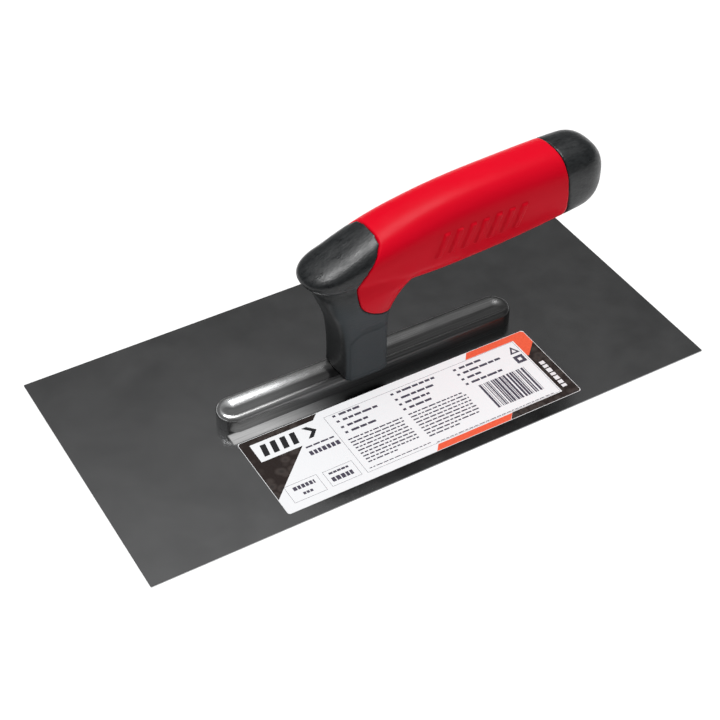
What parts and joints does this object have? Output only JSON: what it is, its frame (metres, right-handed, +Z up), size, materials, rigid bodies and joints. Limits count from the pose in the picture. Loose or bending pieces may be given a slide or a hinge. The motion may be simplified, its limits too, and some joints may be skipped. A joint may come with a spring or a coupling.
{
  "type": "smooth finishing trowel",
  "caption": "Rectangular steel finishing trowel: flat square-edged blade, long rib along its middle and an L-shaped two-material handle standing on the rib.",
  "frame": {"origin": "middle of the blade's underside, which is the working face", "axes": "+X along the blade towards the free end of the grip, +Y across the blade away from the label, +Z up out of the working face"},
  "size_m": [0.27, 0.13, 0.088],
  "materials": {
    "blade_steel": "cold-rolled stainless sheet, semi-gloss with cloudy mottling",
    "rib_steel": "polished stainless pressing",
    "zinc_steel": "zinc plated",
    "core_plastic": "moulded",
    "dark_rubber": "satin, finely mottled",
    "red_plastic": "satin gloss",
    "label_paper": "printed, lightly glossy"
  },
  "bodies": {
    "root": {"blade": "blade_steel", "mounting_rib": "rib_steel", "label": "label_paper", "fixing_bolt": "zinc_steel", "plain_washer": "zinc_steel", "spring_washer": "zinc_steel", "fixing_nut": "zinc_steel", "handle_core": "core_plastic", "front_shell": "dark_rubber", "grip_sleeve": "red_plastic", "end_cap": "dark_rubber"}
  },
  "joints": []
}
